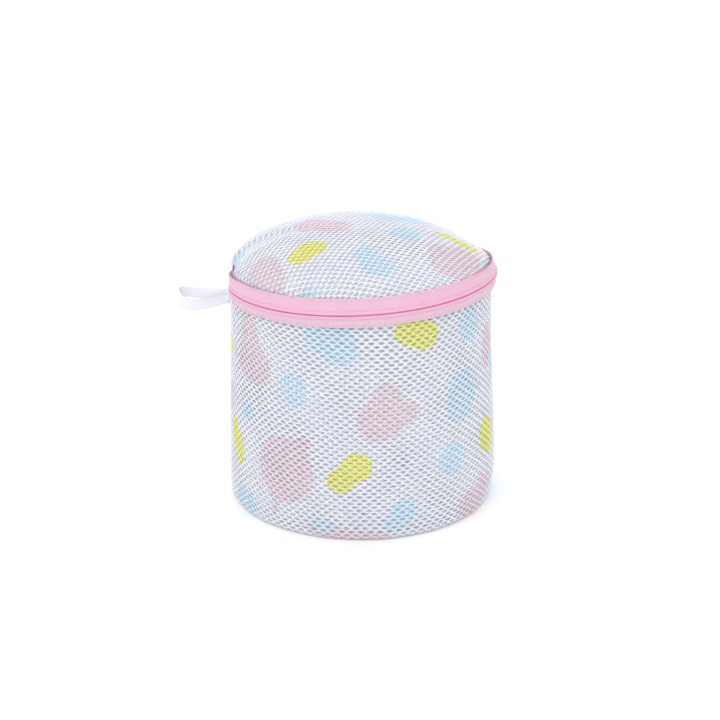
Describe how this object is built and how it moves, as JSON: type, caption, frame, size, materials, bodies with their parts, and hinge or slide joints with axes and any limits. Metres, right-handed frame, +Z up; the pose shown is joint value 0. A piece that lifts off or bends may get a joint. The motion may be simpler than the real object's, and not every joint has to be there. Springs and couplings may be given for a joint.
{
  "type": "mesh laundry bag",
  "caption": "Small self-standing round wash bag of sandwich mesh with a domed lid, a zipper round the rim and a ribbon hang loop; holds delicates such as bras and socks in a washing machine.",
  "frame": {"origin": "centre of the bottom panel's underside, where the bag stands", "axes": "+Z up, -Y towards the front of the zipper, -X towards the hang loop and the zipper's open end"},
  "size_m": [0.1823, 0.1508, 0.16],
  "materials": {
    "mesh": "white knitted polyester sandwich mesh with pale pink, blue and yellow print",
    "zipper_tape": "pink woven polyester tape",
    "zipper_coil": "pink nylon monofilament",
    "zipper_metal": "pink enamelled die-cast zinc",
    "binding": "white bias binding",
    "thread": "pink polyester sewing thread",
    "ribbon": "white satin ribbon"
  },
  "bodies": {
    "bag_body": {"side_wall": "mesh", "bottom_panel": "mesh", "bottom_seam_binding": "binding", "side_seam_binding": "binding", "rim_seam_binding": "binding", "hinge_seam_binding": "binding", "lower_zipper_tape": "zipper_tape", "lower_zipper_coil": "zipper_coil", "zipper_bottom_stop": "zipper_metal", "lower_top_stop": "zipper_metal", "lower_tape_stitching": "thread", "hang_loop_tail": "ribbon"},
    "lid": {"lid_panel": "mesh", "upper_zipper_tape": "zipper_tape", "upper_zipper_coil": "zipper_coil", "upper_top_stop": "zipper_metal", "upper_tape_stitching": "thread", "lid_seam_binding": "binding"},
    "slider": {"zipper_slider": "zipper_metal"},
    "pull": {"pull_tab": "zipper_metal"},
    "hang_loop": {"hang_loop": "ribbon"}
  },
  "joints": [
    {"name": "lid_hinge", "type": "hinge", "parent": "bag_body", "child": "lid", "pos_m": [-0.06739, 0.02864, 0.1257], "axis": [-0.3903, -0.9205, -0.0191], "range_deg": [0, 110]},
    {"name": "slider_travel", "type": "hinge", "parent": "bag_body", "child": "slider", "pos_m": [0, 0, 0.129], "axis": [-0.0488, 0, 0.9988], "range_deg": [-281, 0]},
    {"name": "pull_swing", "type": "hinge", "parent": "slider", "child": "pull", "pos_m": [-0.04002, 0.06669, 0.12704], "axis": [0.0488, 0, -0.9988], "range_deg": [0, 150]},
    {"name": "hang_loop_droop", "type": "hinge", "parent": "bag_body", "child": "hang_loop", "pos_m": [-0.07543, -0.00133, 0.1158], "axis": [0.0174, -0.9998, 0.0009], "range_deg": [-5, 70]}
  ]
}
